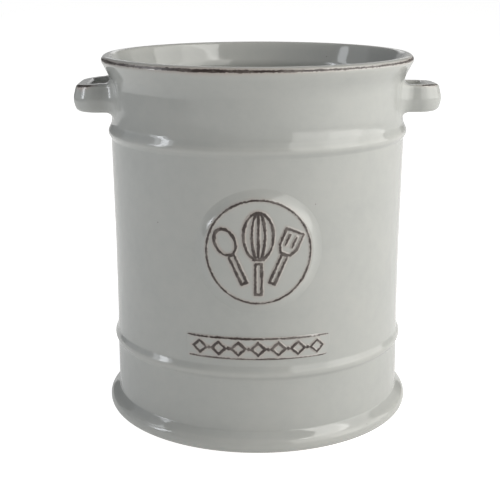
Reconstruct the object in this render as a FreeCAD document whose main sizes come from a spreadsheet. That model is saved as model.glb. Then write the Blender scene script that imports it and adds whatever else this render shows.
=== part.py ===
import FreeCAD, Part
import Sketcher
import os

# A wide glazed stoneware crock for kitchen utensils: a body turned in one piece, two loop handles
# luted to its collar, and two shallow sprigs, a round medallion and a strip, pressed on its front.
# Origin at the middle of the foot, +Z up, handles on the X axis, medallion facing -Y.

doc = FreeCAD.newDocument("utensil_crock")
sheet = doc.addObject("Spreadsheet::Sheet", "Sizes")

# Driving dimensions, in millimetres and degrees
SIZES = {
    # Body
    "height": "170",
    "wall_diameter": "136.7",
    "wall_thickness": "5.5",
    "floor_thickness": "5.5",
    "floor_corner_radius": "9",
    # Foot flange, rounded from a crease with the wall down to the unglazed ring that it stands on
    "foot_overhang": "4.8",
    "foot_height": "9.4",
    "foot_edge_height": "5.6",
    "foot_cove_radius": "0.9",
    "foot_edge_radius": "3.7",
    "foot_base_radius": "3.6",
    "foot_ring_width": "5.9",
    "recess_depth": "2.5",
    "recess_radius": "1",
    # Two raised beads, each with a short flank and a crease below its crest, and a longer hollow flank above
    "bead_projection": "1.7",
    "bead_crest_radius": "4",
    "bead_root_radius": "14",
    "bead_crease_radius": "2",
    "lower_bead_height": "35.6",
    "lower_bead_under": "3.4",
    "lower_bead_over": "5.4",
    "upper_bead_drop": "34",
    "upper_bead_under": "4.8",
    "upper_bead_over": "5.6",
    # Flared rim with a round lip
    "rim_overhang": "4.15",
    "flare_angle": "27",
    "flare_radius": "14",
    "lip_thickness": "5",
    "lip_outer_radius": "2.4",
    "lip_inner_radius": "2.2",
    # Loop handles
    "handle_drop": "13.5",
    "handle_height": "12.3",
    "handle_projection": "17",
    "handle_width": "39",
    "handle_thickness": "8",
    "handle_corner_radius": "10",
    "handle_opening_radius": "3",
    "handle_top_radius": "3",
    "handle_bottom_radius": "3.8",
    "handle_inner_radius": "1.8",
    "handle_root_radius": "3",
    # Sprigs on the front
    "medallion_diameter": "45.5",
    "medallion_raise": "1.4",
    "medallion_skirt": "5",
    "strip_height": "9.4",
    "strip_gap": "8",
    "strip_angle": "55",
    "strip_raise": "0.9",
    "strip_bevel": "0.9",
    "strip_ramp": "9",
    "sprig_edge": "0.15",
    # How far below the wall's face a handle's root starts to spread, so that its edge keeps some thickness
    "seat_sink": "0.25",
    # How far a cut or a seat runs past the piece that it trims
    "overrun": "6",
}
for row, (alias, size) in enumerate(SIZES.items(), start=1):
    sheet.set(f"A{row}", alias)
    sheet.set(f"B{row}", size)
    sheet.setAlias(f"B{row}", alias)
doc.recompute()

# Radii and levels that several pieces share, as expressions of the sheet's cells
WALL = "Sizes.wall_diameter / 2"
BORE = f"{WALL} - Sizes.wall_thickness"
LIP_TURN = "(90 - Sizes.flare_angle) / 2"
LIP_CORNER = (
    f"{WALL} + Sizes.rim_overhang - Sizes.lip_outer_radius"
    f" + Sizes.lip_outer_radius / tan({LIP_TURN})"
)
LIP_INNER_CORNER = f"{LIP_CORNER} - Sizes.lip_thickness / cos(Sizes.flare_angle)"
FLARE_START = f"Sizes.height - ({LIP_CORNER} - {WALL}) / tan(Sizes.flare_angle)"
INNER_FLARE_START = f"Sizes.height - ({LIP_INNER_CORNER} - ({BORE})) / tan(Sizes.flare_angle)"
FLOOR = "Sizes.recess_depth + Sizes.floor_thickness"
UPPER_BEAD = "Sizes.height - Sizes.upper_bead_drop"
STRIP_BOTTOM = "Sizes.lower_bead_height + Sizes.strip_gap"
STRIP_TOP = f"{STRIP_BOTTOM} + Sizes.strip_height"
MEDALLION_CENTRE = f"({STRIP_TOP} + {UPPER_BEAD} - Sizes.upper_bead_under) / 2"

SNAP_SHARE = 1e-6
TURN = 360
QUARTER_TURN = 90


def value(expression):
    """What an expression of the sheet's cells comes to."""
    return float(sheet.evalExpression(expression))


SNAP = value("Sizes.height") * SNAP_SHARE


def new_body(name):
    return doc.addObject("PartDesign::Body", name)


def new_sketch(body, name, plane):
    """An empty sketch on one of the body's own origin planes."""
    sketch = body.newObject("Sketcher::SketchObject", name)
    support = [feature for feature in body.Origin.OriginFeatures if feature.Role == plane][0]
    sketch.AttachmentSupport = (support, [""])
    sketch.MapMode = "FlatFace"
    return sketch


def hold(sketch, kind, edge, end, expression):
    """Hold one end of an edge at a distance from the sketch's origin, worked out from the sheet."""
    index = sketch.addConstraint(Sketcher.Constraint(kind, -1, 1, edge, end, value(expression)))
    sketch.setExpression(f"Constraints[{index}]", expression)


def draw_outline(sketch, corners):
    """A closed outline of straight edges; each corner is a pair of expressions, and "0" is on an axis."""
    points = [FreeCAD.Vector(value(across), value(up)) for across, up in corners]
    for start, end in zip(points, points[1:] + points[:1]):
        sketch.addGeometry(Part.LineSegment(start, end))
    for edge, (across, up) in enumerate(corners):
        before = (edge - 1) % len(corners)
        sketch.addConstraint(Sketcher.Constraint("Coincident", before, 2, edge, 1))
        if across == "0":
            sketch.addConstraint(Sketcher.Constraint("PointOnObject", edge, 1, -2))
        else:
            hold(sketch, "DistanceX", edge, 1, across)
        if up == "0":
            sketch.addConstraint(Sketcher.Constraint("PointOnObject", edge, 1, -1))
        else:
            hold(sketch, "DistanceY", edge, 1, up)


def turn(body, name, sketch, angle=None):
    """Revolve a profile about the crock's axis, all the way round or over an angle about the X axis."""
    revolution = body.newObject("PartDesign::Revolution", name)
    revolution.Profile = sketch
    revolution.ReferenceAxis = (sketch, ["V_Axis"])
    revolution.Angle = TURN
    if angle:
        revolution.Midplane = True
        revolution.setExpression("Angle", angle)
    doc.recompute()
    return revolution


def round_edges(body, name, picked, radius):
    """Round the edges of the body's last feature that the test picks, with a radius from the sheet."""
    base = body.Tip
    names = [f"Edge{i}" for i, edge in enumerate(base.Shape.Edges, start=1) if picked(edge)]
    fillet = body.newObject("PartDesign::Fillet", name)
    fillet.Base = (base, names)
    fillet.setExpression("Radius", radius)
    doc.recompute()
    return fillet


def on_circle(corners):
    """A test for the turned edges that a profile's corners leave, by radius and level."""
    rings = [(value(across), value(up)) for across, up in corners]

    def picked(edge):
        curve = edge.Curve
        if not isinstance(curve, Part.Circle):
            return False
        level = curve.Center.z
        return any(abs(curve.Radius - radius) + abs(level - height) < SNAP for radius, height in rings)

    return picked


def fit_against(piece, neighbour, label):
    """Cut a piece to the face of the one that it is luted to, or that it meets."""
    cut = doc.addObject("Part::Cut", label)
    cut.Label = label
    cut.Base = piece
    cut.Tool = neighbour
    doc.recompute()
    return cut


# Body: one turned profile, from the recessed underside round the foot, wall and lip to the floor inside
crock = new_body("crock_body")
crock.Label = "crock_body"
foot_radius = f"{WALL} + Sizes.foot_overhang"
ring_inside = f"{foot_radius} - Sizes.foot_base_radius - Sizes.foot_ring_width"
bead_crest = f"{WALL} + Sizes.bead_projection"
underside = ("0", "Sizes.recess_depth")
recess_corner = (ring_inside, "Sizes.recess_depth")
ring_edge = (ring_inside, "0")
foot_base = (foot_radius, "0")
foot_edge = (foot_radius, "Sizes.foot_edge_height")
foot_cove = (WALL, "Sizes.foot_height")
lower_bead_foot = (WALL, "Sizes.lower_bead_height - Sizes.lower_bead_under")
lower_bead_crest = (bead_crest, "Sizes.lower_bead_height")
lower_bead_head = (WALL, "Sizes.lower_bead_height + Sizes.lower_bead_over")
upper_bead_foot = (WALL, f"{UPPER_BEAD} - Sizes.upper_bead_under")
upper_bead_crest = (bead_crest, UPPER_BEAD)
upper_bead_head = (WALL, f"{UPPER_BEAD} + Sizes.upper_bead_over")
flare_foot = (WALL, FLARE_START)
lip_outside = (LIP_CORNER, "Sizes.height")
lip_inside = (LIP_INNER_CORNER, "Sizes.height")
inner_flare_foot = (BORE, INNER_FLARE_START)
floor_corner = (BORE, FLOOR)
floor_middle = ("0", FLOOR)
profile = new_sketch(crock, "turned_profile", "XZ_Plane")
draw_outline(profile, [
    underside, recess_corner, ring_edge, foot_base, foot_edge, foot_cove,
    lower_bead_foot, lower_bead_crest, lower_bead_head, upper_bead_foot, upper_bead_crest, upper_bead_head,
    flare_foot, lip_outside, lip_inside, inner_flare_foot, floor_corner, floor_middle,
])
turn(crock, "turned", profile)
bead_crests = [lower_bead_crest, upper_bead_crest]
bead_creases = [lower_bead_foot, upper_bead_foot]
bead_roots = [lower_bead_head, upper_bead_head]
round_edges(crock, "flare", on_circle([flare_foot]), "Sizes.flare_radius")
inner_flare_radius = "Sizes.flare_radius + Sizes.wall_thickness"
round_edges(crock, "inner_flare", on_circle([inner_flare_foot]), inner_flare_radius)
round_edges(crock, "lip_outer", on_circle([lip_outside]), "Sizes.lip_outer_radius")
round_edges(crock, "lip_inner", on_circle([lip_inside]), "Sizes.lip_inner_radius")
round_edges(crock, "crests", on_circle(bead_crests), "Sizes.bead_crest_radius")
round_edges(crock, "bead_creases", on_circle(bead_creases), "Sizes.bead_crease_radius")
round_edges(crock, "bead_roots", on_circle(bead_roots), "Sizes.bead_root_radius")
round_edges(crock, "cove", on_circle([foot_cove]), "Sizes.foot_cove_radius")
round_edges(crock, "foot_edge", on_circle([foot_edge]), "Sizes.foot_edge_radius")
round_edges(crock, "foot_base", on_circle([foot_base]), "Sizes.foot_base_radius")
round_edges(crock, "recess", on_circle([recess_corner, ring_edge]), "Sizes.recess_radius")
round_edges(crock, "floor_corner", on_circle([floor_corner]), "Sizes.floor_corner_radius")

# Handles: a bent strap with a soft section, rounded into the collar where it is luted on
HANDLE_TOP = "Sizes.height - Sizes.handle_drop"
HANDLE_BOTTOM = f"{HANDLE_TOP} - Sizes.handle_height"
HANDLE_REACH = f"{WALL} + Sizes.handle_projection"
MID_WALL = f"({WALL} - Sizes.wall_thickness / 2)"
SEAT = f"{WALL} - Sizes.seat_sink"
SEAT_ANGLE = f"2 * asin((Sizes.handle_width / 2 + Sizes.overrun) / {MID_WALL})"


def handle(name, turned):
    blank = new_body(f"{name}_blank")
    blank.Placement.Rotation = FreeCAD.Rotation(FreeCAD.Vector(0, 0, 1), turned)
    plan = new_sketch(blank, f"{name}_plan", "XY_Plane")
    plan.setExpression("AttachmentOffset.Base.y", "-Sizes.handle_width / 2")
    plan.setExpression("AttachmentOffset.Base.z", HANDLE_BOTTOM)
    near_leg = "Sizes.handle_thickness"
    far_leg = "Sizes.handle_width - Sizes.handle_thickness"
    bar = f"{HANDLE_REACH} - Sizes.handle_thickness"
    outer_root = f"sqrt({MID_WALL}^2 - (Sizes.handle_width / 2)^2)"
    inner_root = f"sqrt({MID_WALL}^2 - (Sizes.handle_width / 2 - Sizes.handle_thickness)^2)"
    draw_outline(plan, [
        (outer_root, "0"), (HANDLE_REACH, "0"),
        (HANDLE_REACH, "Sizes.handle_width"), (outer_root, "Sizes.handle_width"),
        (inner_root, far_leg), (bar, far_leg), (bar, near_leg), (inner_root, near_leg),
    ])
    strap = blank.newObject("PartDesign::Pad", f"{name}_strap")
    strap.Profile = plan
    strap.setExpression("Length", "Sizes.handle_height")
    doc.recompute()

    reach, opening, top, bottom = value(HANDLE_REACH), value(bar), value(HANDLE_TOP), value(HANDLE_BOTTOM)
    opening_side = value("Sizes.handle_width / 2 - Sizes.handle_thickness")
    root = value(inner_root)

    def upright_at(distance):
        return lambda edge: edge.BoundBox.ZLength > SNAP and abs(edge.BoundBox.XMin - distance) < SNAP

    def along(level, outer):
        """A test for the edges at one level on the outside or the inside of the strap."""
        def picked(edge):
            centre = edge.CenterOfMass
            if abs(edge.BoundBox.ZMin - level) > SNAP or abs(edge.BoundBox.ZMax - level) > SNAP:
                return False
            if centre.x < root:
                return False
            inner = centre.x < opening + SNAP and abs(centre.y) < opening_side + SNAP
            return inner != outer
        return picked

    round_edges(blank, f"{name}_corners", upright_at(reach), "Sizes.handle_corner_radius")
    round_edges(blank, f"{name}_opening", upright_at(opening), "Sizes.handle_opening_radius")
    round_edges(blank, f"{name}_top", along(top, True), "Sizes.handle_top_radius")
    round_edges(blank, f"{name}_bottom", along(bottom, True), "Sizes.handle_bottom_radius")
    round_edges(blank, f"{name}_inner_top", along(top, False), "Sizes.handle_inner_radius")
    round_edges(blank, f"{name}_inner_bottom", along(bottom, False), "Sizes.handle_inner_radius")

    seat = new_sketch(blank, f"{name}_seat", "XZ_Plane")
    seat_bottom = f"{HANDLE_BOTTOM} - Sizes.overrun"
    seat_top = f"{HANDLE_TOP} + Sizes.overrun"
    draw_outline(seat, [
        (MID_WALL, seat_bottom), (SEAT, seat_bottom), (SEAT, seat_top), (MID_WALL, seat_top),
    ])
    turn(blank, f"{name}_patch", seat, SEAT_ANGLE)

    low, high, face = value(seat_bottom), value(seat_top), value(SEAT)

    def at_root(edge):
        ends = [edge.valueAt(edge.FirstParameter), edge.valueAt(edge.LastParameter)]
        box = edge.BoundBox
        inside = box.ZMin > low + SNAP and box.ZMax < high - SNAP
        return inside and all(abs((end.x ** 2 + end.y ** 2) ** 0.5 - face) < SNAP for end in ends)

    round_edges(blank, f"{name}_roots", at_root, "Sizes.handle_root_radius")
    return fit_against(blank, crock, name)


handles = [handle("right_handle", 0), handle("left_handle", TURN / 2)]

# Sprigs: thin pads of clay pressed on the front of the wall and cut to its curve
FRONT = FreeCAD.Rotation(FreeCAD.Vector(0, 0, 1), -QUARTER_TURN)


def bevel(body, name, picked, first, second):
    """Slope an edge of the body's last feature, by one distance on each of the two faces that it joins."""
    base = body.Tip
    names = [f"Edge{i}" for i, edge in enumerate(base.Shape.Edges, start=1) if picked(edge)]
    chamfer = body.newObject("PartDesign::Chamfer", name)
    chamfer.Base = (base, names)
    chamfer.ChamferType = "Two distances"
    chamfer.setExpression("Size", first)
    chamfer.setExpression("Size2", second)
    doc.recompute()
    return chamfer


def at_radius(radius):
    """A test for the edges whose every point stands at one distance from the crock's axis."""
    def picked(edge):
        points = edge.discretize(Number=5)
        return all(abs((point.x ** 2 + point.y ** 2) ** 0.5 - radius) < SNAP for point in points)
    return picked


# Medallion: a disc that follows the wall, with a broad sloping skirt round it
MEDALLION_FACE = f"{WALL} + Sizes.medallion_raise"
SKIRT_RADIUS = "(Sizes.medallion_diameter / 2 + Sizes.medallion_skirt)"
PATCH_REACH = f"({SKIRT_RADIUS} + Sizes.overrun)"
disc = new_body("front_medallion_blank")
disc.Placement.Rotation = FRONT
patch = new_sketch(disc, "medallion_patch", "XZ_Plane")
patch_bottom = f"{MEDALLION_CENTRE} - {PATCH_REACH}"
patch_top = f"{MEDALLION_CENTRE} + {PATCH_REACH}"
draw_outline(patch, [
    (MID_WALL, patch_bottom), (MEDALLION_FACE, patch_bottom),
    (MEDALLION_FACE, patch_top), (MID_WALL, patch_top),
])
turn(disc, "medallion_shell", patch, f"2 * asin({PATCH_REACH} / {MID_WALL})")
rings = new_sketch(disc, "medallion_edge", "YZ_Plane")
for radius in (SKIRT_RADIUS, f"2 * {PATCH_REACH}"):
    centre = FreeCAD.Vector(0, value(MEDALLION_CENTRE))
    ring = rings.addGeometry(Part.Circle(centre, FreeCAD.Vector(0, 0, 1), value(radius)))
    rings.addConstraint(Sketcher.Constraint("PointOnObject", ring, 3, -2))
    hold(rings, "DistanceY", ring, 3, MEDALLION_CENTRE)
    index = rings.addConstraint(Sketcher.Constraint("Radius", ring, value(radius)))
    rings.setExpression(f"Constraints[{index}]", radius)
trim = disc.newObject("PartDesign::Pocket", "medallion_trim")
trim.Profile = rings
trim.Type = "ThroughAll"
trim.Midplane = True
doc.recompute()
skirt_drop = "Sizes.medallion_raise - Sizes.sprig_edge"
bevel(disc, "medallion_skirt", at_radius(value(MEDALLION_FACE)), skirt_drop, "Sizes.medallion_skirt")
medallion = fit_against(disc, crock, "front_medallion")

# Strip: a narrow raised band above the lower bead, bevelled along both edges and fading out at its ends
STRIP_FACE = f"{WALL} + Sizes.strip_raise"
STRIP_LAND = f"{WALL} + Sizes.sprig_edge"
band = new_body("front_strip_blank")
band.Placement.Rotation = FRONT
section = new_sketch(band, "strip_section", "XZ_Plane")
draw_outline(section, [
    (MID_WALL, STRIP_BOTTOM), (STRIP_LAND, STRIP_BOTTOM),
    (STRIP_FACE, f"{STRIP_BOTTOM} + Sizes.strip_bevel"), (STRIP_FACE, f"{STRIP_TOP} - Sizes.strip_bevel"),
    (STRIP_LAND, STRIP_TOP), (MID_WALL, STRIP_TOP),
])
turn(band, "strip_band", section, "Sizes.strip_angle")


def strip_end(edge):
    return edge.BoundBox.ZLength > value("Sizes.strip_height") / 2 and at_radius(value(STRIP_FACE))(edge)


bevel(band, "strip_ends", strip_end, "Sizes.strip_ramp", "Sizes.strip_raise - Sizes.sprig_edge")
# On a crock so low that the medallion comes down to the strip, the strip is trimmed round it
strip = fit_against(fit_against(band, crock, "front_strip_seated"), medallion, "front_strip")

# Every piece has to be whole before any is written
pieces = [crock] + handles + [medallion, strip]
doc.recompute()
broken = [thing.Name for thing in doc.Objects if "Invalid" in thing.State or "Error" in thing.State]
broken += [piece.Label for piece in pieces if piece.Shape.isNull() or not piece.Shape.isValid()]
if broken:
    raise RuntimeError(f"not built: {broken}")
os.makedirs("parts", exist_ok=True)
for piece in pieces:
    piece.Shape.exportStep(f"parts/{piece.Label}.step")
    print(f"{piece.Label}: {piece.Shape.Volume:.0f} cubic millimetres")
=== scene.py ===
import math
import bpy
import numpy as np
from mathutils import Matrix, Vector


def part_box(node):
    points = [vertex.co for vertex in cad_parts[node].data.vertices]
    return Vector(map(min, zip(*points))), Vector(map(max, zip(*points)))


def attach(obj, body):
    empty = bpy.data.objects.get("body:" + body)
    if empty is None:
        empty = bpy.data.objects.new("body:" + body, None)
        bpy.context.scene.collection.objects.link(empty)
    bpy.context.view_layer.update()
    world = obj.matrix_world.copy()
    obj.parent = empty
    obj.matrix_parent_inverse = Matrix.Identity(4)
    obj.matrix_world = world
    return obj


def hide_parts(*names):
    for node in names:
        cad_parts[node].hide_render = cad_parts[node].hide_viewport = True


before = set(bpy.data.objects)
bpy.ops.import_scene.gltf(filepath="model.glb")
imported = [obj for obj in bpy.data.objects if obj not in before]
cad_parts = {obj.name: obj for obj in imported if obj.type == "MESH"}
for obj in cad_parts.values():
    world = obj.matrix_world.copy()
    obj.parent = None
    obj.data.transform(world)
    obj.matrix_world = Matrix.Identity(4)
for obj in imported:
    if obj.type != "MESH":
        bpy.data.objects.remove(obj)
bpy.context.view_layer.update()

# Body: a straight stoneware jar, turned in one piece with its foot, two raised beads and a flared
# rim, then dipped in grey glaze. The foot ring is wiped clean before firing, so bare clay shows there.
MM = 0.001
body_low, body_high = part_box("crock_body")
RIM_LEVEL = body_high[2] / MM
FOOT_RADIUS = -body_low[1] / MM
WALL_RADIUS = FOOT_RADIUS - 4.8
BORE_RADIUS = WALL_RADIUS - 5.5
BEAD_RADIUS = WALL_RADIUS + 1.7
RING_RADIUS = FOOT_RADIUS - 9.5
RECESS_LEVEL = 2.5
FLOOR_LEVEL = 8
WIPED_LEVEL = 0.4
FOOT_TOP = 5.6
FOOT_SHOULDER = 9.4
LOWER_BEAD = 35.6
LOWER_BEAD_START = LOWER_BEAD - 1.9
LOWER_BEAD_CREST = LOWER_BEAD + 0.7
LOWER_BEAD_END = LOWER_BEAD + 4.1
UPPER_BEAD = RIM_LEVEL - 34
UPPER_BEAD_START = UPPER_BEAD - 4
UPPER_BEAD_CREST = UPPER_BEAD - 1.2
UPPER_BEAD_END = UPPER_BEAD + 2.8
FLARE_LEVEL = RIM_LEVEL - 11.12
INNER_FLARE_LEVEL = RIM_LEVEL - 10.2
LIP_RADIUS = WALL_RADIUS + 5.67
LIP_BORE_RADIUS = BORE_RADIUS + 5.55
BREAK_LEVEL = RIM_LEVEL - 1.5
BREAK_REACH = 4
RIM_BREAK_WIDTH = 0.68
LEAST_BREAK_BEARING = 38
LEAST_BREAK_SPREAD = 18

# Radius, level and rounding of each corner of the profile, from the underside round to the floor inside
body_corners = [
    (0, RECESS_LEVEL, 0), (RING_RADIUS, RECESS_LEVEL, 1), (RING_RADIUS, 0, 1),
    (FOOT_RADIUS, 0, 3.6), (FOOT_RADIUS, FOOT_TOP, 3.7), (WALL_RADIUS, FOOT_SHOULDER, 0.9),
    (WALL_RADIUS, LOWER_BEAD_START, 2), (BEAD_RADIUS, LOWER_BEAD_CREST, 3), (WALL_RADIUS, LOWER_BEAD_END, 3),
    (WALL_RADIUS, UPPER_BEAD_START, 2), (BEAD_RADIUS, UPPER_BEAD_CREST, 3), (WALL_RADIUS, UPPER_BEAD_END, 4),
    (WALL_RADIUS, FLARE_LEVEL, 14), (LIP_RADIUS, RIM_LEVEL, 2.4), (LIP_BORE_RADIUS, RIM_LEVEL, 2.2),
    (BORE_RADIUS, INNER_FLARE_LEVEL, 7), (BORE_RADIUS, FLOOR_LEVEL, 9), (0, FLOOR_LEVEL, 0),
]


def rounded_outline(corners, closed=False, run=3.0, chord=0.3):
    """Points along straight runs joined by arcs, with the bend, one over the radius, at each point."""
    points, bends = [], []
    count = len(corners)

    def straight_to(end):
        gap = end - points[-1]
        steps = max(1, math.ceil(np.linalg.norm(gap) / run))
        for share in np.linspace(0, 1, steps + 1)[1:-1]:
            points.append(end - gap * (1 - share))
            bends.append(0)

    for i, (across, up, rounding) in enumerate(corners):
        here = np.array([across, up], float)
        if rounding == 0:
            arc, bend = [here], 0
        else:
            before = np.array(corners[i - 1][:2], float) - here
            after = np.array(corners[(i + 1) % count][:2], float) - here
            before /= np.linalg.norm(before)
            after /= np.linalg.norm(after)
            opening = math.acos(np.clip(before @ after, -1, 1))
            middle = (before + after) / np.linalg.norm(before + after)
            centre = here + middle * rounding / math.sin(opening / 2)
            start = here + before * rounding / math.tan(opening / 2) - centre
            left = before[1] * after[0] - before[0] * after[1] > 0
            sweep = (math.pi - opening) * (1 if left else -1)
            steps = max(4, math.ceil(abs(sweep) * rounding / chord))
            turns = np.linspace(0, sweep, steps + 1)
            arc = [centre + [start[0] * math.cos(t) - start[1] * math.sin(t),
                             start[0] * math.sin(t) + start[1] * math.cos(t)] for t in turns]
            bend = (1 if left else -1) / rounding
        if points:
            straight_to(arc[0])
        points += arc
        bends += [bend] * len(arc)
    if closed:
        straight_to(points[0])
    return np.array(points), np.array(bends)


def closed_mesh(name, points, faces, **attributes):
    """A smooth closed mesh from points in millimetres, with values at its points for the glaze to read."""
    mesh = bpy.data.meshes.new(name)
    mesh.from_pydata((np.asarray(points) * MM).tolist(), [], faces)
    mesh.polygons.foreach_set("use_smooth", [True] * len(mesh.polygons))
    for label, values in attributes.items():
        layer = mesh.attributes.new(label, "FLOAT", "POINT")
        layer.data.foreach_set("value", np.asarray(values, np.float32))
    mesh.validate()
    piece = bpy.data.objects.new(name, mesh)
    bpy.context.scene.collection.objects.link(piece)
    return piece


def smooth_step(low, high, values):
    """0 below low, 1 above high and a smooth rise between them."""
    share = np.clip((np.asarray(values, float) - low) / (high - low), 0, 1)
    return share * share * (3 - 2 * share)


profile, bends = rounded_outline(body_corners)
lengths = np.concatenate([[0], np.cumsum(np.linalg.norm(np.diff(profile, axis=0), axis=1))])

# Glaze runs thin over the crests and pools in the hollows, most where they are rounded by 4 mm or less,
# and spread a millimetre or so past each bend
THIN_RADIUS = 4
THIN_SPREAD = 1.2
spread = np.exp(-0.5 * ((lengths[:, None] - lengths[None, :]) / THIN_SPREAD) ** 2)
spread *= np.gradient(lengths)[None, :]
profile_thin = np.clip((spread @ bends) / spread.sum(axis=1) * THIN_RADIUS, -1, 1)

# The glaze breaks to brown on the outer edge of the lip, least along the front right of the rim
outer_rim = np.flatnonzero(profile[:, 0] > WALL_RADIUS)
rim_edge = outer_rim[np.argmin(abs(profile[outer_rim, 1] - BREAK_LEVEL))]
profile_near = np.clip(1 - abs(lengths - lengths[rim_edge]) / BREAK_REACH, 0, 1)
profile_bare = 1 - smooth_step(WIPED_LEVEL / 4, WIPED_LEVEL, profile[:, 1])

TURNS = 352
angles = np.arange(TURNS) * 2 * math.pi / TURNS
from_front = np.degrees(np.angle(np.exp(1j * (angles + math.pi / 2))))
rim_width = RIM_BREAK_WIDTH + 0.08 * np.sin(3 * angles + 0.6) + 0.07 * np.sin(7 * angles + 2.1)
rim_width *= 1 - 0.35 * np.exp(-((from_front - LEAST_BREAK_BEARING) / LEAST_BREAK_SPREAD) ** 2)

LOW_SWELL = 0.25
LOW_SWELL_FADE = (LOWER_BEAD, LOWER_BEAD + 12)
PANEL_SWELL = 0.6
SWELL_START = 82
SWELL_FULL = UPPER_BEAD - 5
FOOT_FADE = (4, 14)
COLLAR_FADE = (UPPER_BEAD - 3, UPPER_BEAD + 9)


def wall_swell(levels):
    """How far the wall stands out from a true cylinder: a little low down, and most under the upper bead."""
    low = LOW_SWELL * (1 - smooth_step(*LOW_SWELL_FADE, levels))
    risen = np.clip((np.asarray(levels, float) - SWELL_START) / (SWELL_FULL - SWELL_START), 0, 1)
    fade = smooth_step(*FOOT_FADE, levels) * (1 - smooth_step(*COLLAR_FADE, levels))
    return (low + PANEL_SWELL * risen) * fade


# Never quite round, the wall drifts inwards by up to twice this much, fully so from the lower bead up
WALL_DRIFT = 0.07
DRIFT_PITCH = 31
DRIFT_FADE = (12, 40)
OUTER_FACE = WALL_RADIUS - 0.01
rings = profile[1:-1]
ring_levels = rings[:, 1:]
inward = WALL_DRIFT * (1 + np.sin(3 * angles + ring_levels / DRIFT_PITCH))
inward *= smooth_step(*DRIFT_FADE, ring_levels)
radii = rings[:, :1] - inward + (rings[:, :1] > OUTER_FACE) * wall_swell(ring_levels)
ring_points = np.stack([
    radii * np.cos(angles), radii * np.sin(angles), np.broadcast_to(ring_levels, radii.shape)], -1)
body_points = np.concatenate([ring_points.reshape(-1, 3), [[0, 0, RECESS_LEVEL], [0, 0, FLOOR_LEVEL]]])
under_pole, floor_pole = len(body_points) - 2, len(body_points) - 1
body_faces = []
for i in range(len(rings) - 1):
    for j in range(TURNS):
        k = (j + 1) % TURNS
        body_faces.append((i * TURNS + j, i * TURNS + k, (i + 1) * TURNS + k, (i + 1) * TURNS + j))
last = (len(rings) - 1) * TURNS
for j in range(TURNS):
    k = (j + 1) % TURNS
    body_faces.append((under_pole, k, j))
    body_faces.append((floor_pole, last + j, last + k))


def around(values):
    """Profile values carried round the turned body, with the two points on its axis at the end."""
    return np.concatenate([np.repeat(values[1:-1], TURNS), [values[0], values[-1]]])


body = closed_mesh(
    "stoneware_body", body_points, body_faces,
    break_near=around(profile_near),
    break_width=np.concatenate([np.tile(rim_width, len(rings)), [0, 0]]),
    thin=around(profile_thin),
    bare=around(profile_bare),
)


def linear(hex_colour):
    """An sRGB hex colour as the linear colour that a shader takes."""
    shares = [int(hex_colour[i:i + 2], 16) / 255 for i in (1, 3, 5)]
    return [s / 12.92 if s <= 0.04045 else ((s + 0.055) / 1.055) ** 2.4 for s in shares] + [1]


def add(tree, kind, sockets=None, **settings):
    """Add a shader node with its settings; a socket takes a value, or a link from another node's output."""
    made = tree.nodes.new(kind)
    for name, setting in settings.items():
        setattr(made, name, setting)
    for socket, source in (sockets or {}).items():
        if isinstance(source, bpy.types.NodeSocket):
            tree.links.new(source, made.inputs[socket])
        else:
            made.inputs[socket].default_value = source
    return made


GREY = "#A9AAA7"
PALE_GREY = "#AFAFAB"
DEEP_GREY = "#A2A4A1"
WARM_HALO = "#B0A098"
BREAK_BROWN = "#463C38"
BREAK_DARK = "#2A2322"
THIN_GREY = "#C6C4BD"
CLAY = "#CDBFA9"
CLAY_DARK = "#B7A68D"


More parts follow.
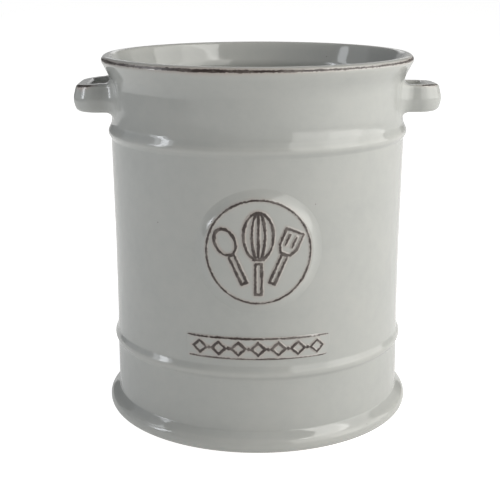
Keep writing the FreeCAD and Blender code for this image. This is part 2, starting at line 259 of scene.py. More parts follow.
def breaking_glaze(name):
    """Glossy grey glaze on stoneware: glassy and slightly rippled, a little uneven in depth, and broken
    to a dry dark brown along edges and raised lines, where the melt drew back from them."""
    material = bpy.data.materials.new(name)
    material.use_nodes = True
    tree = material.node_tree
    tree.nodes.clear()
    place = add(tree, "ShaderNodeTexCoord").outputs["Object"]
    near = add(tree, "ShaderNodeAttribute", attribute_name="break_near").outputs["Fac"]
    width = add(tree, "ShaderNodeAttribute", attribute_name="break_width").outputs["Fac"]
    thin = add(tree, "ShaderNodeAttribute", attribute_name="thin").outputs["Fac"]
    bare = add(tree, "ShaderNodeAttribute", attribute_name="bare").outputs["Fac"]

    # Depth of the glaze: broad clouds 28 mm across, with a finer cast of 5 mm
    clouds = add(tree, "ShaderNodeTexNoise", {
        "Vector": place, "Scale": 1 / (28 * MM), "Detail": 2, "Roughness": 0.5}).outputs["Fac"]
    cast = add(tree, "ShaderNodeTexNoise", {
        "Vector": place, "Scale": 1 / (5 * MM), "Detail": 4, "Roughness": 0.6}).outputs["Fac"]
    depth = add(tree, "ShaderNodeMath", {0: clouds, 1: cast}, operation="ADD").outputs[0]
    depth = add(tree, "ShaderNodeMapRange", {"Value": depth, "From Min": 0.3, "From Max": 1.7}).outputs[0]
    ground = add(tree, "ShaderNodeValToRGB", {"Fac": depth})
    ramp = ground.color_ramp
    ramp.elements[0].color = linear(DEEP_GREY)
    ramp.elements[1].color = linear(PALE_GREY)
    ramp.elements.new(0.5).color = linear(GREY)

    # On the crests the glaze is thin and a little paler
    crest = add(tree, "ShaderNodeMapRange", {
        "Value": thin, "From Min": 0.05, "From Max": 1, "To Max": 0.12}).outputs[0]
    ground = add(tree, "ShaderNodeMix", {
        0: crest, 6: ground.outputs["Color"], 7: linear(THIN_GREY)}, data_type="RGBA").outputs[2]

    # Sparse iron specks, 0.5 mm across and about 14 mm apart
    cells = add(tree, "ShaderNodeTexVoronoi", {"Vector": place, "Scale": 1 / (14 * MM)})
    dot = add(tree, "ShaderNodeMapRange", {
        "Value": cells.outputs["Distance"], "From Min": 0.012, "From Max": 0.026, "To Min": 0.6, "To Max": 0,
    }, interpolation_type="SMOOTHSTEP").outputs[0]
    speckled = add(tree, "ShaderNodeMix", {
        0: dot, 6: ground, 7: linear(BREAK_BROWN)}, data_type="RGBA").outputs[2]

    # Broken lines: their width wanders over 7 mm, their edge is ragged at 1 mm, the glaze beside them is
    # warmed by the brown, and in places a skin of glaze is left on it
    away = add(tree, "ShaderNodeMapRange", {
        "Value": near, "From Min": 1, "From Max": 0, "To Min": 0, "To Max": BREAK_REACH}).outputs[0]
    wander = add(tree, "ShaderNodeTexNoise", {
        "Vector": place, "Scale": 1 / (7 * MM), "Detail": 2, "Roughness": 0.6}).outputs["Fac"]
    ragged = add(tree, "ShaderNodeTexNoise", {
        "Vector": place, "Scale": 1 / (1.1 * MM), "Detail": 3, "Roughness": 0.6}).outputs["Fac"]
    reach = add(tree, "ShaderNodeMapRange", {
        "Value": wander, "From Min": 0.25, "From Max": 0.7, "To Min": 0.6, "To Max": 1.3}).outputs[0]
    reach = add(tree, "ShaderNodeMath", {0: reach, 1: width}, operation="MULTIPLY").outputs[0]
    fray = add(tree, "ShaderNodeMapRange", {
        "Value": ragged, "From Min": 0.2, "From Max": 0.8, "To Min": -0.35, "To Max": 0.35}).outputs[0]
    fray = add(tree, "ShaderNodeMath", {0: fray, 1: away}, operation="SUBTRACT").outputs[0]
    edge = add(tree, "ShaderNodeMath", {0: reach, 1: fray}, operation="ADD").outputs[0]
    broken = add(tree, "ShaderNodeMapRange", {
        "Value": edge, "From Min": -0.08, "From Max": 0.2}, interpolation_type="SMOOTHSTEP").outputs[0]
    halo_edge = add(tree, "ShaderNodeMath", {0: width, 1: 3.2, 2: fray}, operation="MULTIPLY_ADD").outputs[0]
    halo = add(tree, "ShaderNodeMapRange", {
        "Value": halo_edge, "From Min": -0.2, "From Max": 2.2, "To Min": 0, "To Max": 0.6,
    }, interpolation_type="SMOOTHSTEP").outputs[0]
    warmed = add(tree, "ShaderNodeMix", {
        0: halo, 6: speckled, 7: linear(WARM_HALO)}, data_type="RGBA").outputs[2]
    brown = add(tree, "ShaderNodeMix", {
        0: ragged, 6: linear(BREAK_DARK), 7: linear(BREAK_BROWN)}, data_type="RGBA").outputs[2]
    skin = add(tree, "ShaderNodeMapRange", {
        "Value": cast, "From Min": 0.35, "From Max": 0.52, "To Min": 0.76, "To Max": 1}).outputs[0]
    shown = add(tree, "ShaderNodeMath", {0: broken, 1: skin}, operation="MULTIPLY").outputs[0]
    glazed = add(tree, "ShaderNodeMix", {0: shown, 6: warmed, 7: brown}, data_type="RGBA").outputs[2]

    # Bare clay, sandy at half a millimetre, with a ragged glaze line where the foot was wiped
    grit = add(tree, "ShaderNodeTexNoise", {
        "Vector": place, "Scale": 1 / (0.5 * MM), "Detail": 4, "Roughness": 0.7}).outputs["Fac"]
    clay = add(tree, "ShaderNodeMix", {
        0: grit, 6: linear(CLAY_DARK), 7: linear(CLAY)}, data_type="RGBA").outputs[2]
    wiped = add(tree, "ShaderNodeMath", {0: ragged, 1: 0.6, 2: bare}, operation="MULTIPLY_ADD").outputs[0]
    wiped = add(tree, "ShaderNodeMapRange", {
        "Value": wiped, "From Min": 0.75, "From Max": 0.9}, interpolation_type="SMOOTHSTEP").outputs[0]
    colour = add(tree, "ShaderNodeMix", {0: wiped, 6: glazed, 7: clay}, data_type="RGBA").outputs[2]

    # Roughness: glassy, drier on the breaks, dull on the clay
    dry = add(tree, "ShaderNodeMapRange", {"Value": broken, "To Min": 0.06, "To Max": 0.3}).outputs[0]
    dry = add(tree, "ShaderNodeMath", {0: cast, 1: 0.03, 2: dry}, operation="MULTIPLY_ADD").outputs[0]
    rough = add(tree, "ShaderNodeMapRange", {"Value": wiped, "To Min": 0, "To Max": 0.75}).outputs[0]
    rough = add(tree, "ShaderNodeMath", {0: dry, 1: rough}, operation="MAXIMUM").outputs[0]

    # Relief: the slow ripple of a melted surface, 16 mm long, a fine orange peel of 2.5 mm, the lines left
    # by turning, 1.5 mm apart, that show faintly through the glaze, pits in the breaks and grit on the clay
    ripple = add(tree, "ShaderNodeTexNoise", {
        "Vector": place, "Scale": 1 / (16 * MM), "Detail": 1, "Roughness": 0.4}).outputs["Fac"]
    peel = add(tree, "ShaderNodeTexNoise", {
        "Vector": place, "Scale": 1 / (2.5 * MM), "Detail": 1, "Roughness": 0.4}).outputs["Fac"]
    bumped = add(tree, "ShaderNodeBump", {"Strength": 1, "Distance": 0.12 * MM, "Height": ripple}).outputs[0]
    bumped = add(tree, "ShaderNodeBump", {
        "Strength": 1, "Distance": 0.004 * MM, "Height": peel, "Normal": bumped}).outputs[0]
    flat = add(tree, "ShaderNodeVectorMath", {0: place, 1: (0.04, 0.04, 1)}, operation="MULTIPLY").outputs[0]
    lines = add(tree, "ShaderNodeTexNoise", {
        "Vector": flat, "Scale": 1 / (1.5 * MM), "Detail": 2, "Roughness": 0.5}).outputs["Fac"]
    bumped = add(tree, "ShaderNodeBump", {
        "Strength": 1, "Distance": 0.008 * MM, "Height": lines, "Normal": bumped}).outputs[0]
    pitted = add(tree, "ShaderNodeMath", {0: broken, 1: ragged}, operation="MULTIPLY").outputs[0]
    bumped = add(tree, "ShaderNodeBump", {
        "Strength": 1, "Distance": 0.08 * MM, "Height": pitted, "Normal": bumped}, invert=True).outputs[0]
    gritty = add(tree, "ShaderNodeMath", {0: wiped, 1: grit}, operation="MULTIPLY").outputs[0]
    bumped = add(tree, "ShaderNodeBump", {
        "Strength": 1, "Distance": 0.12 * MM, "Height": gritty, "Normal": bumped}).outputs[0]

    surface = add(tree, "ShaderNodeBsdfPrincipled", {
        "Base Color": colour, "Roughness": rough, "IOR": 1.52, "Normal": bumped})
    add(tree, "ShaderNodeOutputMaterial", {"Surface": surface.outputs[0]})
    return material


grey_glaze = breaking_glaze("grey_glazed_stoneware")
body.data.materials.append(grey_glaze)
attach(body, "root")
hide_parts("crock_body")

# Handles: two loops of soft clay strap, bent to a square U, drawn in a little towards the bar and luted to
# the collar with a smoothed root. Their outer face is crowned, and the glaze breaks on its upper edge.
HANDLE_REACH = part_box("right_handle")[1][0] / MM
HANDLE_TOP = RIM_LEVEL - 13.5
HANDLE_BOTTOM = HANDLE_TOP - 12.3
HANDLE_HALF_WIDTH = 19.5
STRAP_THICKNESS = 8
OUTER_BEND = 10
INNER_BEND = 3
INNER_LEG_START = WALL_RADIUS + 5.2
OUTER_LEG_START = WALL_RADIUS + 3.2
ROOT_RADIUS = 3
FRONT_ROOT_RADIUS = 6
SUNK_IN_WALL = 0.6
END_DEPTH = 2
CROWN = 1.5
CROWN_PEAK = 0.4
CROWN_DROP = 1
COLLAR_START = UPPER_BEAD + 8
EDGE_INSET = 0.6
STRAP_THIN_RADIUS = 1.6
BOW = 0.8
DRAWN_IN_SHARE = 0.08
DRAWN_IN_START = WALL_RADIUS + 2

# Thickness, level and rounding of each corner of the strap's section, from its lower inner edge round
HANDLE_MIDDLE = (HANDLE_TOP + HANDLE_BOTTOM) / 2
strap_section, strap_bends = rounded_outline([
    (0, HANDLE_BOTTOM, 1.8), (STRAP_THICKNESS - CROWN, HANDLE_BOTTOM, 2.8),
    (STRAP_THICKNESS + CROWN_PEAK, HANDLE_MIDDLE - CROWN_DROP, 10),
    (STRAP_THICKNESS - CROWN, HANDLE_TOP, 2), (0, HANDLE_TOP, 1.8)], closed=True, run=0.6)
section_count = len(strap_section)
ahead = np.roll(strap_section, -1, axis=0) - np.roll(strap_section, 1, axis=0)
section_normals = np.stack([ahead[:, 1], -ahead[:, 0]], -1) / np.linalg.norm(ahead, axis=1)[:, None]
top_edge = np.array([STRAP_THICKNESS - CROWN - EDGE_INSET, HANDLE_TOP - EDGE_INSET])
section_near = np.clip(1 - np.linalg.norm(strap_section - top_edge, axis=1) / BREAK_REACH, 0, 1)
height_share = np.clip((strap_section[:, 1] - HANDLE_BOTTOM) / (HANDLE_TOP - HANDLE_BOTTOM), 0, 1)
leg_inner_y = HANDLE_HALF_WIDTH - STRAP_THICKNESS
bar_inner_x = HANDLE_REACH - STRAP_THICKNESS


def collar_radius(levels):
    """Radius of the body's outer face at each level of the collar."""
    across, up = profile.T
    collar = (across > OUTER_FACE) & (up > COLLAR_START) & (up < BREAK_LEVEL)
    return np.interp(levels, up[collar], across[collar])


# The strap's inner and outer lines in plan, from one leg round the bend to the middle of the bar
strap_plan = []
for share in np.linspace(0, 1, 5)[1:-1]:
    inner = (INNER_LEG_START + share * (bar_inner_x - INNER_BEND - INNER_LEG_START), leg_inner_y)
    outer = (OUTER_LEG_START + share * (HANDLE_REACH - OUTER_BEND - OUTER_LEG_START), HANDLE_HALF_WIDTH)
    strap_plan.append((inner, outer))
for turn in np.linspace(0, math.pi / 2, 19):
    from_bar, from_leg = 1 - math.sin(turn), 1 - math.cos(turn)
    inner = (bar_inner_x - INNER_BEND * from_bar, leg_inner_y - INNER_BEND * from_leg)
    outer = (HANDLE_REACH - OUTER_BEND * from_bar, HANDLE_HALF_WIDTH - OUTER_BEND * from_leg)
    strap_plan.append((inner, outer))
for share in np.linspace(0, 1, 6)[1:]:
    inner = (bar_inner_x, (leg_inner_y - INNER_BEND) * (1 - share))
    outer = (HANDLE_REACH, (HANDLE_HALF_WIDTH - OUTER_BEND) * (1 - share))
    strap_plan.append((inner, outer))


def root_rise(depth, radius):
    """How far a root of a given radius spreads at a depth out from the wall."""
    return radius - math.sqrt(radius ** 2 - max(0, radius - max(depth, 0)) ** 2)


outward = np.clip(section_normals[:, 0], 0, 1) ** 2
root_depths = FRONT_ROOT_RADIUS * (1 - np.cos(np.linspace(0.04, 1, 15) * math.pi / 2))


def loop_handle(name, node, side, lift, broken):
    """One loop, on the right for side 1 and on the left for -1. It was set by hand, so its upper edge is
    lifted a little, by x out from the axis and y, and the width of its brown edge is given from -1 at
    the front leg to 1 at the back one."""
    strap_rings = []
    for front in (-1, 1):
        half = []
        for depth in (-SUNK_IN_WALL, *root_depths):
            rise = (outward * root_rise(depth, FRONT_ROOT_RADIUS)
                    + (1 - outward) * root_rise(depth, ROOT_RADIUS))
            y = front * (leg_inner_y + strap_section[:, 0] + section_normals[:, 0] * rise)
            z = strap_section[:, 1] + section_normals[:, 1] * rise + height_share * lift(WALL_RADIUS, y)
            half.append(np.stack([np.sqrt(collar_radius(z) ** 2 - y ** 2) + depth, y, z], -1))
        for inner, outer in strap_plan:
            share = strap_section[:, :1] / STRAP_THICKNESS
            x, y = (np.array(inner) * (1 - share) + np.array(outer) * share).T
            x = x - BOW * (y / HANDLE_HALF_WIDTH) ** 2 * smooth_step(WALL_RADIUS, HANDLE_REACH, x)
            y = front * y * (1 - DRAWN_IN_SHARE * smooth_step(DRAWN_IN_START, HANDLE_REACH, x))
            half.append(np.stack([x, y, strap_section[:, 1] + height_share * lift(x, y)], -1))
        strap_rings += half if front < 0 else half[-2::-1]
    total = len(strap_rings)
    ends = [ring.mean(axis=0) - [END_DEPTH, 0, 0] for ring in (strap_rings[0], strap_rings[-1])]
    points = np.concatenate(strap_rings + [ends]) * [side, 1, 1]
    faces = []
    last_ring = (total - 1) * section_count
    for ring in range(0, last_ring, section_count):
        after = ring + section_count
        for j in range(section_count):
            k = (j + 1) % section_count
            faces.append((ring + j, ring + k, after + k, after + j))
    first_end = total * section_count
    for j in range(section_count):
        k = (j + 1) % section_count
        faces.append((first_end, k, j))
        faces.append((first_end + 1, last_ring + j, last_ring + k))
    if side > 0:
        faces = [face[::-1] for face in faces]
    handle = closed_mesh(
        name, points, faces,
        break_near=np.concatenate([np.tile(section_near, total), [0, 0]]),
        break_width=np.concatenate([np.repeat(broken(np.linspace(-1, 1, total)), section_count), [0, 0]]),
        thin=np.concatenate([np.tile(np.clip(strap_bends * STRAP_THIN_RADIUS, -1, 1), total), [0, 0]]),
    )
    handle.data.materials.append(grey_glaze)
    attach(handle, "root")
    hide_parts(node)


# The right loop dips towards the back, and the left one stands highest at its root
loop_handle(
    "strap_loop_right", "right_handle", 1,
    lambda x, y: -0.3 - 0.041 * y,
    lambda at: 0.5 * np.exp(-((at + 0.4) / 0.24) ** 2) + 0.08)
loop_handle(
    "strap_loop_left", "left_handle", -1,
    lambda x, y: 1.2 - 1.0 * smooth_step(WALL_RADIUS, HANDLE_REACH, x) + 0.016 * y,
    lambda at: 0.9 * np.exp(-((at + 0.36) / 0.2) ** 2) + 0.08)

# Medallion: a round pad of clay pressed from a mould on to the front of the wall, with a hollowed
# skirt feathered into it. A raised ring frames three kitchen tools in line relief.
medallion_low, medallion_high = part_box("front_medallion")
MEDALLION_LEVEL = (medallion_low[2] + medallion_high[2]) / 2 / MM
SKIRT_RADIUS = (medallion_high[2] - medallion_low[2]) / 2 / MM
MEDALLION_RAISE = 1.4
RING_LINE = 22.6
RING_HALF = 0.45
RING_SQUEEZE = 0.98
LINE_HALF = 0.72
LINE_RAISE = 0.35
FEATHER = 0.35
SKIRT_DIP = 0.06
EDGE_TUCK = 0.5
BACK_DEPTH = 1.5
RING_BREAK_WIDTH = 0.5
TOOL_BREAK_WIDTH = 0.66


def line_away(x, y, line):
    """Distance from each place to the middle of a drawn line."""
    best = np.full(np.shape(x), 1e3)
    for (ax, ay), (bx, by) in zip(line[:-1], line[1:]):
        dx, dy = bx - ax, by - ay
        share = np.clip(((x - ax) * dx + (y - ay) * dy) / max(dx * dx + dy * dy, 1e-9), 0, 1)
        best = np.minimum(best, np.hypot(x - ax - share * dx, y - ay - share * dy))
    return best


def oval(middle, across, up, start=0, end=360, steps=40):
    """An oval about a middle on the tool's own line, or a part of it, from start to end in degrees."""
    turns = np.radians(np.linspace(start, end, steps + 1))
    return [(across * math.cos(t), middle + up * math.sin(t)) for t in turns]


def leaning(lines, degrees, foot):
    """Lines turned about the foot that the three tools spring from."""
    lean = math.radians(degrees)
    return [[(x * math.cos(lean) - (y - foot) * math.sin(lean),
              foot + x * math.sin(lean) + (y - foot) * math.cos(lean)) for x, y in line] for line in lines]


def grip(half, low, high):
    """The outline of a tool's grip."""
    return [(-half, low), (-half, high), (half, high), (half, low), (-half, low)]


# The tools drawn upright, in millimetres from the middle of the pad
TOOL_FOOT = -27
whisk = [grip(1.3, -18.6, -5), [(-2.2, -3.2), (2.2, -3.2)],
         oval(7, 6.2, 10.4, -78, 258), oval(7, 2.7, 10.4, -70, 250), [(0, -2.6), (0, 17.4)]]
spoon = [grip(1.2, -12.5, 0.8), oval(7.2, 4.2, 6)]
turner = [grip(1.2, -12.5, 0.8),
          [(-2.1, 1.4), (2.1, 1.4), (3.8, 4.8), (3.8, 12), (-3.8, 12), (-3.8, 4.8), (-2.1, 1.4)],
          [(-1.5, 5.2), (-1.5, 9.8)], [(1.5, 5.2), (1.5, 9.8)]]
medallion_lines = whisk + leaning(spoon, 24, TOOL_FOOT) + leaning(turner, -23, TOOL_FOOT)

RINGS = 104
SPOKES = 384
ring_radii = np.concatenate([np.linspace(0, SKIRT_RADIUS, RINGS)[1:], [SKIRT_RADIUS + EDGE_TUCK]])
spoke_angles = np.arange(SPOKES) * 2 * math.pi / SPOKES
pad_x = np.concatenate([(ring_radii[:, None] * np.cos(spoke_angles)).ravel(), [0]])
pad_y = np.concatenate([(ring_radii[:, None] * np.sin(spoke_angles)).ravel(), [0]])
pad_radius = np.hypot(pad_x, pad_y)
skirt_share = np.clip((pad_radius - RING_LINE - RING_HALF) / (SKIRT_RADIUS - RING_LINE - RING_HALF), 0, 1)
pad_height = MEDALLION_RAISE * (1 - skirt_share) ** 2 - SKIRT_DIP * smooth_step(0.75, 1, skirt_share)
pad_height = np.where(pad_radius > SKIRT_RADIUS + EDGE_TUCK / 2, -SUNK_IN_WALL, pad_height)

# Pressed round the curve of the wall, the ring is a little narrower across than up
ring_across = WALL_RADIUS * np.arcsin(pad_x / WALL_RADIUS) / RING_SQUEEZE
ring_away = abs(np.hypot(ring_across, pad_y) - RING_LINE)
tools_away = np.min([line_away(pad_x, pad_y, line) for line in medallion_lines], axis=0)
pad_gap = np.minimum(ring_away - RING_HALF, tools_away - LINE_HALF)
pad_height += LINE_RAISE * (1 - smooth_step(-FEATHER, FEATHER, pad_gap))


def on_wall(x, y, height, level):
    """Points at a height above the wall, seen from the front at x across and y above a level."""
    turn = np.arcsin(x / WALL_RADIUS)
    reach = WALL_RADIUS + wall_swell(level + y) + height
    return np.stack([reach * np.sin(turn), -reach * np.cos(turn), level + y], -1)


ring_total = len(ring_radii)
face_points = on_wall(pad_x, pad_y, pad_height, MEDALLION_LEVEL)
back = on_wall(np.zeros(1), np.zeros(1), np.full(1, -BACK_DEPTH), MEDALLION_LEVEL)
medallion_points = np.concatenate([face_points, back])
pad_middle, pad_back = len(face_points) - 1, len(face_points)
medallion_faces = []
pad_edge = (ring_total - 1) * SPOKES
for j in range(SPOKES):
    k = (j + 1) % SPOKES
    medallion_faces.append((pad_middle, j, k))
    for i in range(ring_total - 1):
        medallion_faces.append((i * SPOKES + j, (i + 1) * SPOKES + j, (i + 1) * SPOKES + k, i * SPOKES + k))
    medallion_faces.append((pad_back, pad_edge + k, pad_edge + j))

# The ring's brown line is narrower than the tools' lines, and those narrow a little to the right
line_near = np.clip(1 - np.minimum(ring_away, tools_away) / BREAK_REACH, 0, 1)
tool_width = TOOL_BREAK_WIDTH - 0.1 * smooth_step(-10, 24, pad_x)
line_width = np.where(ring_away < tools_away, RING_BREAK_WIDTH, tool_width)
medallion = closed_mesh(
    "sprig_medallion", medallion_points, medallion_faces,
    break_near=np.append(line_near, 0),
    break_width=np.append(line_width, 0),
    thin=np.append(np.clip(0.8 - skirt_share * 2, -0.8, 0.3), 0),
)

# The same glaze over relief pressed in a mould: it draws back from the raised lines, so that they show brown
sprig_glaze = breaking_glaze("grey_glaze_over_pressed_relief")
medallion.data.materials.append(sprig_glaze)
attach(medallion, "root")
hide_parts("front_medallion")

# Strip: a narrow band of clay pressed from a mould above the lower bead, with a raised rule along
# each edge and a row of lozenges and dots between them. It fades into the wall at both ends.
strip_low, strip_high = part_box("front_strip")
STRIP_BOTTOM = strip_low[2] / MM
STRIP_TOP = strip_high[2] / MM
STRIP_HALF_ANGLE = math.radians(27.5)
STRIP_RAISE = 0.6
STRIP_RAMP = 9
RULE_HALF = 0.45
RULE_INSET = 0.05
STRIP_MARGIN = 0.7
STRIP_SIDE_RAMP = 1.4
STRIP_DIP = 0.05
STRIP_TUCK = 0.4
STRIP_FEATHER = 0.3
STRIP_BREAK_WIDTH = 0.66
LOZENGES_ASIDE = 3
LOZENGE_PITCH = 8.7
LOZENGE_LINE_HALF = 0.6
LOZENGE_HALF_HEIGHT = 2.8
LOZENGE_HALF_WIDTH = 3.1
DOT_HALF = 0.8

strip_half = WALL_RADIUS * STRIP_HALF_ANGLE
strip_middle = (STRIP_TOP + STRIP_BOTTOM) / 2
strip_half_height = (STRIP_TOP - STRIP_BOTTOM) / 2
strip_edge = strip_half_height + STRIP_MARGIN
COLUMNS, ROWS = 300, 54


def tucked(half, count):
    """Even places from edge to edge, with one more past each edge, where it is tucked into the wall."""
    return np.concatenate([[-half - STRIP_TUCK], np.linspace(-half, half, count), [half + STRIP_TUCK]])


column_x = tucked(strip_half, COLUMNS)
row_y = tucked(strip_edge, ROWS)
band_x, band_y = [grid.ravel() for grid in np.meshgrid(column_x, row_y, indexing="ij")]
rule_level = strip_half_height - RULE_INSET
rule_gap = abs(abs(band_y) - rule_level) - RULE_HALF
band_gap = rule_gap
steep = math.hypot(1 / LOZENGE_HALF_WIDTH, 1 / LOZENGE_HALF_HEIGHT)
for n in range(-LOZENGES_ASIDE, LOZENGES_ASIDE + 1):
    slant = abs(band_x - n * LOZENGE_PITCH) / LOZENGE_HALF_WIDTH + abs(band_y) / LOZENGE_HALF_HEIGHT - 1
    band_gap = np.minimum(band_gap, abs(slant) / steep - LOZENGE_LINE_HALF)
for n in range(-LOZENGES_ASIDE, LOZENGES_ASIDE):
    dot_x = (n + 0.5) * LOZENGE_PITCH
    band_gap = np.minimum(band_gap, np.hypot(band_x - dot_x, band_y) - DOT_HALF)
end_share = smooth_step(0, STRIP_RAMP, strip_half - abs(band_x))
side_share = smooth_step(0, STRIP_SIDE_RAMP, strip_edge - abs(band_y))
band_height = STRIP_RAISE * end_share * side_share - STRIP_DIP * (1 - side_share)
band_height += LINE_RAISE * end_share * (1 - smooth_step(-STRIP_FEATHER, STRIP_FEATHER, band_gap))
past_edge = np.maximum(abs(band_x) - strip_half, abs(band_y) - strip_edge)
band_height = np.where(past_edge > STRIP_TUCK / 2, -SUNK_IN_WALL, np.maximum(band_height, -STRIP_DIP))


def wrapped(x, y, height, level):
    """Points at a height above the wall, x along its curve from the front and y above a level."""
    turn = x / WALL_RADIUS
    reach = WALL_RADIUS + height
    return np.stack([reach * np.sin(turn), -reach * np.cos(turn), level + y], -1)


band_points = wrapped(band_x, band_y, band_height, strip_middle)
under_points = wrapped(band_x, band_y, np.full(len(band_x), -BACK_DEPTH), strip_middle)
wide, tall = len(column_x), len(row_y)
size = wide * tall
band_faces = []
for i in range(wide - 1):
    for j in range(tall - 1):
        quad = (i * tall + j, (i + 1) * tall + j, (i + 1) * tall + j + 1, i * tall + j + 1)
        band_faces.append(quad)
        band_faces.append(tuple(size + corner for corner in quad[::-1]))
border = [i * tall for i in range(wide)] + [(wide - 1) * tall + j for j in range(1, tall)]
border += [i * tall + tall - 1 for i in range(wide - 2, -1, -1)] + list(range(tall - 2, 0, -1))
for here, there in zip(border, border[1:] + border[:1]):
    band_faces.append((there, here, size + here, size + there))

# The brown lines narrow a little to the right and end with the strip, and the rules are the narrower ones
strip_near = np.clip(1 - (band_gap + LOZENGE_LINE_HALF) / BREAK_REACH, 0, 1)
strip_width = STRIP_BREAK_WIDTH * (1 - 0.2 * smooth_step(4, 30, band_x))
strip_width *= smooth_step(0, 1.5, strip_half - abs(band_x))
strip_width *= np.where(band_gap < rule_gap, 1, 0.85)
strip = closed_mesh(
    "sprig_strip", np.concatenate([band_points, under_points]), band_faces,
    break_near=np.concatenate([strip_near, np.zeros(size)]),
    break_width=np.concatenate([strip_width, np.zeros(size)]),
    thin=np.concatenate([0.3 * end_share, np.zeros(size)]),
)
strip.data.materials.append(sprig_glaze)
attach(strip, "root")
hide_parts("front_strip")

# Floor: a sheet of pale card, which ends a metre to the left of the crock. It also glows, a painted light
# from below that lights the crock, with painted shade in that glow round its foot. The eye sees it white,
# with the crock's soft shadow where the two meet.
CARD_LEFT = -0.95
CARD_REACH = 9
CARD = "#C4C4C2"
WHITE = "#FFFFFF"
card = bpy.data.meshes.new("card_floor")
card.from_pydata([
    (CARD_LEFT, -CARD_REACH, 0), (CARD_REACH, -CARD_REACH, 0),
    (CARD_REACH, CARD_REACH, 0), (CARD_LEFT, CARD_REACH, 0)], [], [(0, 1, 2, 3)])
floor = bpy.data.objects.new("card_floor", card)
bpy.context.scene.collection.objects.link(floor)
white_card = bpy.data.materials.new("white_card_painted_glow")
white_card.use_nodes = True
tree = white_card.node_tree
tree.nodes.clear()
ray = add(tree, "ShaderNodeLightPath")
place = add(tree, "ShaderNodeTexCoord").outputs["Object"]
apart = add(tree, "ShaderNodeVectorMath", {0: place}, operation="LENGTH").outputs["Value"]
# Painted shade: the glow that lights the crock is weaker within about 16 cm of its axis, standing in for its
# shadow
painted_foot_shade = add(tree, "ShaderNodeMapRange", {
    "Value": apart, "From Min": 75 * MM, "From Max": 160 * MM, "To Min": 0.37, "To Max": 0.5}).outputs[0]
# Painted light: every ray but the camera's sees the card glow at that strength, and the camera sees it at
# 0.92
glow = add(tree, "ShaderNodeMapRange", {
    "Value": ray.outputs["Is Camera Ray"], "To Min": painted_foot_shade, "To Max": 0.92}).outputs[0]
white = add(tree, "ShaderNodeEmission", {"Color": linear(WHITE), "Strength": glow})
paper = add(tree, "ShaderNodeBsdfDiffuse", {"Color": linear(CARD)})
card_and_painted_glow = add(tree, "ShaderNodeAddShader", {0: paper.outputs[0], 1: white.outputs[0]})
add(tree, "ShaderNodeOutputMaterial", {"Surface": card_and_painted_glow.outputs[0]})
card.materials.append(white_card)

# Light: a bank of soft panels on the right, brightest in its middle, with a dim wing and one panel above it,
# a narrow soft box on the left, bright at its heart, with a slit beside it and a dim wing behind, and a grey
# room with a backdrop that is paler higher up. The camera sees the room as white paper.
ROOM_GREY = "#656565"
CEILING_GREY = "#595959"
WARM_WHITE = "#FFFEFA"
COOL_WHITE = "#F6FAFF"
world = bpy.data.worlds.new("grey_studio")
bpy.context.scene.world = world
world.use_nodes = True
tree = world.node_tree
tree.nodes.clear()
towards = add(tree, "ShaderNodeSeparateXYZ", {0: add(tree, "ShaderNodeTexCoord").outputs["Generated"]})
rise = towards.outputs["Z"]
up = add(tree, "ShaderNodeMapRange", {"Value": rise, "From Min": -1, "From Max": 1}).outputs[0]
room = add(tree, "ShaderNodeValToRGB", {"Fac": up})
ramp = room.color_ramp
ramp.elements[0].position = 0.72
ramp.elements[0].color = linear(ROOM_GREY)
ramp.elements[1].position = 0.8
ramp.elements[1].color = linear(CEILING_GREY)
behind = add(tree, "ShaderNodeMapRange", {
    "Value": towards.outputs["Y"], "From Min": 0.9, "From Max": 0.96}).outputs[0]
backdrop = add(tree, "ShaderNodeMapRange", {
    "Value": rise, "From Min": 0.13, "From Max": 0.26, "To Min": 0.45, "To Max": 1.5}).outputs[0]
walls = add(tree, "ShaderNodeMix", {
    0: behind, 6: room.outputs["Color"], 7: backdrop}, data_type="RGBA").outputs[2]
ray = add(tree, "ShaderNodeLightPath")
seen = add(tree, "ShaderNodeMix", {
    0: ray.outputs["Is Camera Ray"], 6: walls, 7: linear(WHITE)}, data_type="RGBA").outputs[2]
sky = add(tree, "ShaderNodeBackground", {"Color": seen, "Strength": 1})
add(tree, "ShaderNodeOutputWorld", {"Surface": sky.outputs[0]})


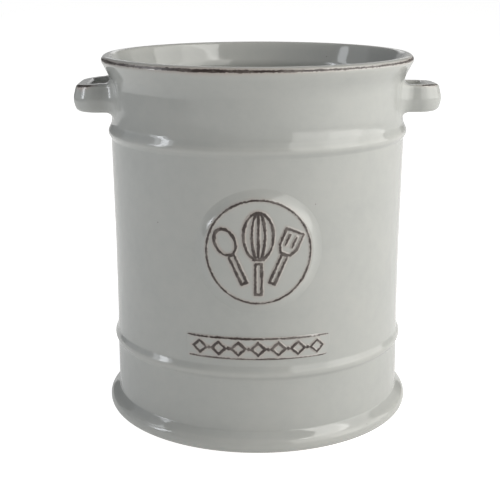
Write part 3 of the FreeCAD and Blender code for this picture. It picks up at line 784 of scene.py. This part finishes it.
def soft_box(name, bearing, distance, wide, low, high, glow, tint):
    """An upright lamp facing the crock: bearing in degrees from the front to the right, sizes in metres, and
    glow, the brightness of its cloth, where white card in plain light is 1."""
    lamp = bpy.data.lights.new(name, "AREA")
    lamp.shape = "RECTANGLE"
    lamp.size = wide
    lamp.size_y = high - low
    lamp.energy = glow * math.pi * wide * (high - low)
    lamp.color = linear(tint)[:3]
    box = bpy.data.objects.new(name, lamp)
    bpy.context.scene.collection.objects.link(box)
    turn = math.radians(bearing)
    aim = Vector((math.sin(turn), -math.cos(turn), 0))
    box.location = aim * distance + Vector((0, 0, (low + high) / 2))
    box.rotation_euler = (-aim).to_track_quat("-Z", "Y").to_euler()


soft_box("right_front_panel", 40, 1.3, 0.672, 0.05, 1.7, 2.1, WARM_WHITE)
soft_box("right_middle_panel", 69, 1.3, 0.672, 0.05, 1.7, 3.2, WARM_WHITE)
soft_box("right_back_panel", 98, 1.3, 0.672, 0.05, 1.7, 2.1, WARM_WHITE)
soft_box("right_wing", 128, 1.3, 0.6, 0.05, 1.3, 0.4, WARM_WHITE)
soft_box("right_high_panel", 72, 1.5, 1.6, 1.9, 2.9, 4.8, WARM_WHITE)
soft_box("left_soft_box", -78.5, 1.0, 0.3, 0.12, 0.78, 2.3, COOL_WHITE)
soft_box("left_soft_box_heart", -77.5, 1.02, 0.12, 0.16, 0.76, 5.6, COOL_WHITE)
soft_box("left_soft_box_edge", -96, 1.0, 0.15, 0.6, 1.08, 3.6, COOL_WHITE)
soft_box("left_wing", -103, 1.15, 0.8, 0.1, 1.2, 0.4, COOL_WHITE)

# Camera: a 79 mm lens on a 36 mm sensor, half a metre in front of the crock and a little above its rim,
# looking down by 15 degrees.
CAMERA_PLACE = (-0.003557, -0.5175, 0.21286)
CAMERA_TILT = math.radians(75.045)
CAMERA_ROLL = -0.0023
lens = bpy.data.cameras.new("studio_camera")
lens.lens = 78.84
lens.sensor_width = 36
camera = bpy.data.objects.new("studio_camera", lens)
bpy.context.scene.collection.objects.link(camera)
camera.matrix_world = (Matrix.Translation(CAMERA_PLACE)
                       @ Matrix.Rotation(CAMERA_TILT, 4, "X") @ Matrix.Rotation(CAMERA_ROLL, 4, "Z"))
bpy.context.scene.camera = camera
bpy.context.scene.view_settings.view_transform = "Standard"
